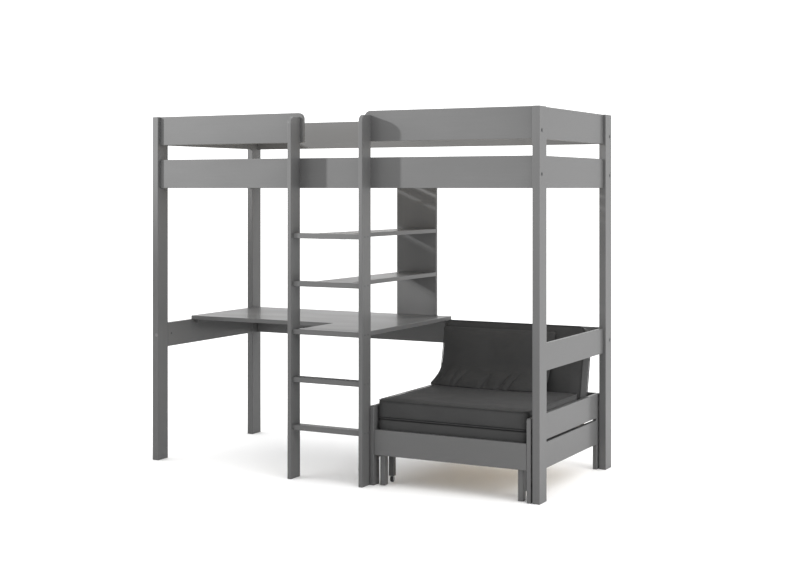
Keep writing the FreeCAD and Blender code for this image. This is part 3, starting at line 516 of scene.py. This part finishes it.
def applied(piece):
    """Turn the modifiers of a piece into its mesh."""
    graph = bpy.context.evaluated_depsgraph_get()
    mesh = bpy.data.meshes.new_from_object(piece.evaluated_get(graph))
    piece.modifiers.clear()
    piece.data = mesh


def remeshed(piece, size):
    """Even quads of the given size all over the piece."""
    remesh = piece.modifiers.new("Remesh", "REMESH")
    remesh.mode = "VOXEL"
    remesh.voxel_size = size
    applied(piece)


def inflated(piece, held, pressure, cap, steps, stretch=15.0, bending=0.5):
    """Blow the piece up as cloth. held(point) is 1 at a seam, and cap limits the swell."""
    group = piece.vertex_groups.new(name="seams")
    start = [vertex.co.copy() for vertex in piece.data.vertices]
    for index, point in enumerate(start):
        weight = held(point)
        if weight > 0:
            group.add([index], weight, "REPLACE")
    settings = piece.modifiers.new("Cloth", "CLOTH").settings
    settings.quality = 5
    settings.use_pressure = True
    settings.uniform_pressure_force = pressure
    settings.effector_weights.gravity = 0.0
    settings.vertex_group_mass = "seams"
    settings.pin_stiffness = 1.0
    settings.tension_stiffness = stretch
    settings.compression_stiffness = stretch
    settings.shear_stiffness = stretch / 2
    settings.bending_stiffness = bending
    scene = bpy.context.scene
    for step in range(1, steps + 1):
        scene.frame_set(step)
    graph = bpy.context.evaluated_depsgraph_get()
    blown = piece.evaluated_get(graph)
    points = [vertex.co.copy() for vertex in blown.to_mesh().vertices]
    blown.to_mesh_clear()
    piece.modifiers.clear()
    piece.vertex_groups.clear()
    scene.frame_set(1)
    for vertex, before, after in zip(piece.data.vertices, start, points):
        move = after - before
        if move.length > cap:
            move *= cap / move.length
        vertex.co = before + move


def smoothed(piece):
    """One subdivision and smooth shading."""
    division = piece.modifiers.new("Subdivision", "SUBSURF")
    division.levels = 1
    division.render_levels = 1
    applied(piece)
    shade_smooth(piece)


def edge_rise(edge):
    """How much of an edge goes up."""
    return abs(edge.verts[0].co.z - edge.verts[1].co.z)


def slab(size, corner, segments):
    """A slab centred on the origin, with its corners rounded in plan."""
    bm = bmesh.new()
    bmesh.ops.create_cube(bm, size=1.0)
    bmesh.ops.scale(bm, vec=size, verts=bm.verts)
    upright = [edge for edge in bm.edges if edge_rise(edge) > size[2] / 2]
    bmesh.ops.bevel(bm, geom=upright, offset=corner, offset_type="OFFSET", segments=segments,
                    profile=0.5, affect="EDGES", material=-1)
    return bm


def rounded_slab(size, corner, edge):
    """A slab with its corners rounded in plan, then its top and bottom edges."""
    bm = slab(size, corner, PAD_CORNER_SEGMENTS)
    rim = [e for e in bm.edges if edge_rise(e) < edge / 2
           and len({round(face.normal.z, 1) for face in e.link_faces}) > 1]
    bmesh.ops.bevel(bm, geom=rim, offset=edge, offset_type="OFFSET",
                    segments=PAD_EDGE_SEGMENTS, profile=0.5, affect="EDGES", material=-1)
    return bm


def seam_distance(point, size, corner, inset):
    """How far a point is from the nearer of the two seams round a slab."""
    half_x = size[0] / 2 - inset
    half_y = size[1] / 2 - inset
    x = abs(point.x) - (half_x - corner)
    y = abs(point.y) - (half_y - corner)
    outside = math.hypot(max(x, 0), max(y, 0)) + min(max(x, y), 0) - corner
    rise = abs(point.z) - (size[2] / 2 - inset)
    return math.hypot(outside, rise)


def corded_loop(bm, size, corner, height, radius):
    """A round cord laid along a rounded rectangle at one height, added to bm."""
    half_x = size[0] / 2
    half_y = size[1] / 2
    place = Vector((half_x, -half_y + corner, height))
    turn = Matrix.Translation(place) @ Matrix.Rotation(math.radians(90), 4, "X")
    ring = bmesh.ops.create_circle(bm, cap_ends=False, radius=radius, segments=CORD_SIDES,
                                   matrix=turn)["verts"]
    edges = list({edge for vertex in ring for edge in vertex.link_edges})
    heading = Vector((0, 1, 0))
    for run in [2 * half_y - 2 * corner, 2 * half_x - 2 * corner] * 2:
        made = bmesh.ops.extrude_edge_only(bm, edges=edges)["geom"]
        ring = [part for part in made if isinstance(part, bmesh.types.BMVert)]
        edges = [part for part in made if isinstance(part, bmesh.types.BMEdge)]
        bmesh.ops.translate(bm, vec=heading * run, verts=ring)
        place = place + heading * run
        inward = Vector((-heading.y, heading.x, 0))
        spun = bmesh.ops.spin(bm, geom=ring + edges, cent=place + inward * corner,
                              axis=(0, 0, 1), angle=math.radians(90),
                              steps=PAD_CORNER_SEGMENTS, use_duplicate=False)["geom_last"]
        edges = [part for part in spun if isinstance(part, bmesh.types.BMEdge)]
        place = place + heading * corner + inward * corner
        heading = inward
    bmesh.ops.remove_doubles(bm, verts=bm.verts, dist=radius / 20)
    bmesh.ops.recalc_face_normals(bm, faces=bm.faces)


def placed(piece, matrix, node, body):
    """Put a finished piece in place, in its CAD node's stead if it has one."""
    piece.data.transform(matrix)
    piece.data.update()
    if node:
        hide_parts(node)
    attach(piece, body)


def cover_cloth(context):
    """The cover material, made once."""
    found = bpy.data.materials.get("charcoal_polyester_weave")
    return found or tight_weave("charcoal_polyester_weave",
                                context.scene.loft_bed_finish.cover)


def foam_pad(context, name, node, size, matrix, lift, corded=(1, -1)):
    """A boxed foam pad. lift is how much of the crown shows on its upper and lower face.

    corded says which of the two seams, upper 1 and lower -1, are sewn over a cord.
    """
    options = context.scene.loft_bed_cushions
    piece = object_from(name, rounded_slab(size, options.corner, options.edge))
    remeshed(piece, options.voxel)
    inset = options.edge * (1 - math.sqrt(0.5))

    def held(point):
        away = seam_distance(point, size, options.corner, inset)
        return max(0.0, 1.0 - away / PAD_SEAM_HOLD)

    inflated(piece, held, PAD_PRESSURE, options.crown, PAD_STEPS)
    for vertex in piece.data.vertices:
        over = abs(vertex.co.z) - size[2] / 2
        if over > 0:
            share = lift[0] if vertex.co.z > 0 else lift[1]
            vertex.co.z = math.copysign(size[2] / 2 + over * share, vertex.co.z)
        # Foam is never quite even: a slow wave of half a millimetre or so under the cover.
        wave = noise.noise(vertex.co * FOAM_WAVES_PER_METRE)
        vertex.co.z += FOAM_RISE * wave * (1 - held(vertex.co))
    smoothed(piece)
    placed(piece, matrix, node, "bed_frame")
    bm = bmesh.new()
    around = (size[0] - 2 * inset + options.piping, size[1] - 2 * inset + options.piping)
    level = size[2] / 2 - inset + options.piping / 3
    for side in corded:
        corded_loop(bm, around, options.corner, side * level, options.piping)
    piping = object_from(name + "_piping", bm)
    shade_smooth(piping)
    placed(piping, matrix, None, "bed_frame")
    paint((piece.name, piping.name), cover_cloth(context))


class LOFTBED_OT_seat_pads(bpy.types.Operator):
    """Make the two folded seat pads of the chair bed"""
    bl_idname = "loftbed.seat_pads"
    bl_label = "Make Seat Pads"

    def execute(self, context):
        for name, node, lift, corded in (
                ("lower_seat_pad", "seat_pad_lower", (0.1, 0.1), (-1,)),
                ("upper_seat_pad", "seat_pad_upper", (0.8, 0.1), (1, -1))):
            low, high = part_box(node)
            size = (high - low) - Vector(SEAT_PAD_ROOM)
            middle = Matrix.Translation((low + high) / 2)
            foam_pad(context, name, node, size, middle, lift, corded)
        return {"FINISHED"}


class LOFTBED_OT_back_cushion(bpy.types.Operator):
    """Make the leaning back cushion"""
    bl_idname = "loftbed.back_cushion"
    bl_label = "Make Back Cushion"

    def execute(self, context):
        low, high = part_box("back_cushion")
        lean = math.atan(BACK_LEAN_SLOPE)
        deep = BACK_THICKNESS
        tall = ((high.z - low.z) - deep * math.sin(lean)) / math.cos(lean)
        room = BACK_CUSHION_ROOM
        size = Vector((high.x - low.x - room[0], tall - room[1], deep - room[2]))
        # The slab lies flat when it is made: its Y becomes the height, its Z the front.
        upright = Matrix.Rotation(math.radians(90), 4, "X")
        leaning = Matrix.Rotation(-lean, 4, "X")
        matrix = Matrix.Translation((low + high) / 2) @ leaning @ upright
        foam_pad(context, "leaning_back_cushion", "back_cushion", size, matrix, (0.8, 0.4))
        return {"FINISHED"}


def straight_run(height):
    """The pillow's middle line as straight runs, carried on past both ends."""
    for first, second in zip(PILLOW_STOPS, PILLOW_STOPS[1:]):
        if height <= second[0]:
            break
    share = (height - first[0]) / (second[0] - first[0])
    return Vector((0.0, first[1] + (second[1] - first[1]) * share,
                   first[2] + (second[2] - first[2]) * share))


def middle_line(height):
    """The same line with its bends eased."""
    window = [straight_run(height + offset * EASE_STEP) for offset in range(-5, 6)]
    return sum(window, Vector()) / len(window)


def fold(point, wide):
    """Depth of the gathers that run up from the pillow's lower seam."""
    across = point.x / wide
    total = 0.0
    for place, lean, width, depth in PILLOW_FOLDS:
        offset = (across - place - lean * point.y) / width
        total += depth * math.exp(-offset * offset)
    return total


def shape_pillow(piece, low, high, wide):
    """Bend the flat pillow over the seat and up the back cushion, flat where it rests."""
    tall = PILLOW_TALL
    seat = low.z
    foot = high.y - PILLOW_CAD_RISE * BACK_LEAN_SLOPE
    middle = low.x + PILLOW_SIDE_ROOM + wide / 2
    half = max(abs(vertex.co.y) for vertex in piece.data.vertices)
    breadth = max(abs(vertex.co.x) for vertex in piece.data.vertices)
    for vertex in piece.data.vertices:
        point = Vector((vertex.co.x * wide / 2 / breadth, vertex.co.y * tall / 2 / half,
                        vertex.co.z))
        # The filling draws the sides in between the corners.
        point.x *= 1 - PILLOW_WAIST * (1 - (2 * point.y / tall) ** 2)
        height = point.y + tall / 2
        along = middle_line(height + AIM_STEP) - middle_line(height - AIM_STEP)
        along.normalize()
        outward = Vector((0, -along.z, along.y))
        near_foot = math.exp(-(height / PILLOW_FOOT) ** 2)
        if point.z > 0:
            body = min(1.0, abs(point.z) / PILLOW_RIM)
            thick = point.z * (PILLOW_FRONT + PILLOW_FRONT_FOOT * near_foot)
            thick -= fold(point, wide) * near_foot * body
            for depth, across, up, start in PILLOW_LUMPS:
                lump = noise.noise(Vector((point.x * across, point.y * up, start)))
                thick += depth * lump * body
        else:
            thick = point.z * PILLOW_BACK
        place = Vector((middle + point.x, foot, seat)) + middle_line(height) + outward * thick
        place.y -= PILLOW_SLUMP * near_foot * (1 - (2 * point.x / wide) ** 2)
        back = foot + (place.z - seat) * BACK_LEAN_SLOPE - PILLOW_GAP
        place.y = min(place.y, back)
        place.z = max(place.z, seat + PILLOW_GAP)
        vertex.co = place


class LOFTBED_OT_pillow(bpy.types.Operator):
    """Make the loose pillow that slumps against the back cushion"""
    bl_idname = "loftbed.pillow"
    bl_label = "Make Pillow"

    def execute(self, context):
        options = context.scene.loft_bed_cushions
        low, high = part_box("pillow")
        wide = high.x - low.x - 2 * PILLOW_SIDE_ROOM
        flat = slab((wide, PILLOW_TALL, PILLOW_FLAT), PILLOW_CORNER, PILLOW_CORNER_SEGMENTS)
        piece = object_from("loose_pillow", flat)
        remeshed(piece, PILLOW_VOXEL)

        def held(point):
            inside = min(wide / 2 - abs(point.x), PILLOW_TALL / 2 - abs(point.y))
            return max(0.0, 1.0 - inside / PILLOW_SEAM_HOLD)

        inflated(piece, held, options.pillow_pressure, PILLOW_SWELL, PILLOW_STEPS,
                 stretch=3.0, bending=0.1)
        shape_pillow(piece, low, high, wide)
        smoothed(piece)
        placed(piece, Matrix.Identity(4), "pillow", "loose_pillow")
        paint((piece.name,), cover_cloth(context))
        return {"FINISHED"}


# ---- studio ---------------------------------------------------------------------------------

FLOOR_HALF = 40.0
# The key lamp is hooded, so that it reaches only the upper half of the bed.
KEY_PLACE = (-6.0, -4.0, 3.85)
KEY_TARGET = (-0.85, -0.44, 2.3)
KEY_CONE = math.radians(23.0)
KEY_SOFT_EDGE = 0.6
KEY_RADIUS = 0.17
# The fill box is wide, for the right side.
FILL_PLACE = (5.2, -0.8, 1.7)
FILL_TARGET = (0.9, 0.0, 0.9)
FILL_WIDTH = 2.4
CAMERA_PLACE = (3.3005, -6.4227, 1.3845)
CAMERA_SHIFT = (0.1212, -0.1262)
SENSOR_WIDTH = 36.0
VIEW_DISTANCE = 200.0
CUSHION_PIECES = (
    "lower_seat_pad", "lower_seat_pad_piping", "upper_seat_pad", "upper_seat_pad_piping",
    "leaning_back_cushion", "leaning_back_cushion_piping", "loose_pillow",
)


def aimed_light(name, kind, place, target, power, **settings):
    """A neutral lamp of the given kind that points at the target."""
    light = bpy.data.lights.new(name, kind)
    light.energy = power
    for key, value in settings.items():
        setattr(light, key, value)
    lamp = bpy.data.objects.new(name, light)
    lamp.location = place
    lamp.rotation_euler = (Vector(target) - Vector(place)).to_track_quat("-Z", "Y").to_euler()
    bpy.context.scene.collection.objects.link(lamp)
    return lamp


def keep_out_of(lamp, names):
    """Stop a lamp from lighting the named pieces."""
    shaded = bpy.data.collections.new("out_of_the_key_light")
    lamp.light_linking.receiver_collection = shaded
    for name in names:
        if name in bpy.data.objects:
            shaded.objects.link(bpy.data.objects[name])
    for member in shaded.collection_objects:
        member.light_linking.link_state = "EXCLUDE"


class LOFTBED_OT_studio(bpy.types.Operator):
    """Set up the floor, the light and the camera"""
    bl_idname = "loftbed.studio"
    bl_label = "Set Up Studio"

    def execute(self, context):
        scene = context.scene
        studio = scene.loft_bed_studio
        bm = bmesh.new()
        bmesh.ops.create_grid(bm, x_segments=2, y_segments=2, size=FLOOR_HALF)
        floor = object_from("studio_floor", bm)
        floor.data.materials.append(white_vinyl("matt_white_vinyl"))

        world = bpy.data.worlds.new("white_surround")
        world.use_nodes = True
        background = world.node_tree.nodes["Background"]
        background.inputs["Color"].default_value = (1.0, 1.0, 1.0, 1.0)
        background.inputs["Strength"].default_value = studio.sky
        scene.world = world
        key = aimed_light("key_lamp", "SPOT", KEY_PLACE, KEY_TARGET, studio.key,
                          spot_size=KEY_CONE, spot_blend=KEY_SOFT_EDGE,
                          shadow_soft_size=KEY_RADIUS)
        keep_out_of(key, CUSHION_PIECES)
        aimed_light("fill_box", "AREA", FILL_PLACE, FILL_TARGET, studio.fill,
                    shape="SQUARE", size=FILL_WIDTH)

        camera = bpy.data.cameras.new("studio_camera")
        camera.sensor_width = SENSOR_WIDTH
        camera.lens = studio.lens
        camera.shift_x, camera.shift_y = CAMERA_SHIFT
        camera.clip_end = VIEW_DISTANCE
        holder = bpy.data.objects.new("studio_camera", camera)
        holder.location = CAMERA_PLACE
        holder.rotation_euler = (math.radians(90), 0.0, studio.yaw)
        scene.collection.objects.link(holder)
        scene.camera = holder
        scene.view_settings.view_transform = "Standard"
        return {"FINISHED"}


# ---- panel and registration -----------------------------------------------------------------

class LOFTBED_PT_panel(bpy.types.Panel):
    """Steps and settings of the loft bed"""
    bl_label = "Loft Bed"
    bl_idname = "LOFTBED_PT_panel"
    bl_space_type = "VIEW_3D"
    bl_region_type = "UI"
    bl_category = "Loft Bed"

    def draw(self, context):
        layout = self.layout
        for group in (context.scene.loft_bed_finish, context.scene.loft_bed_cushions,
                      context.scene.loft_bed_studio):
            column = layout.column(align=True)
            for key in group.__annotations__:
                column.prop(group, key)
        for step in STEPS:
            layout.operator(step.bl_idname)


GROUPS = (LoftBedFinish, LoftBedCushions, LoftBedStudio)
STEPS = (LOFTBED_OT_lacquer, LOFTBED_OT_slats, LOFTBED_OT_fittings, LOFTBED_OT_seat_pads,
         LOFTBED_OT_back_cushion, LOFTBED_OT_pillow, LOFTBED_OT_studio)


def register():
    """Make the settings and operators known to Blender."""
    for item in (*GROUPS, *STEPS, LOFTBED_PT_panel):
        bpy.utils.register_class(item)
    bpy.types.Scene.loft_bed_finish = bpy.props.PointerProperty(type=LoftBedFinish)
    bpy.types.Scene.loft_bed_cushions = bpy.props.PointerProperty(type=LoftBedCushions)
    bpy.types.Scene.loft_bed_studio = bpy.props.PointerProperty(type=LoftBedStudio)


def unregister():
    """Take the settings and operators out again."""
    del bpy.types.Scene.loft_bed_studio
    del bpy.types.Scene.loft_bed_cushions
    del bpy.types.Scene.loft_bed_finish
    for item in reversed((*GROUPS, *STEPS, LOFTBED_PT_panel)):
        bpy.utils.unregister_class(item)


def main():
    """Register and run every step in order."""
    register()
    bpy.ops.loftbed.lacquer()
    bpy.ops.loftbed.slats()
    bpy.ops.loftbed.fittings()
    bpy.ops.loftbed.seat_pads()
    bpy.ops.loftbed.back_cushion()
    bpy.ops.loftbed.pillow()
    bpy.ops.loftbed.studio()


if __name__ == "__main__":
    main()
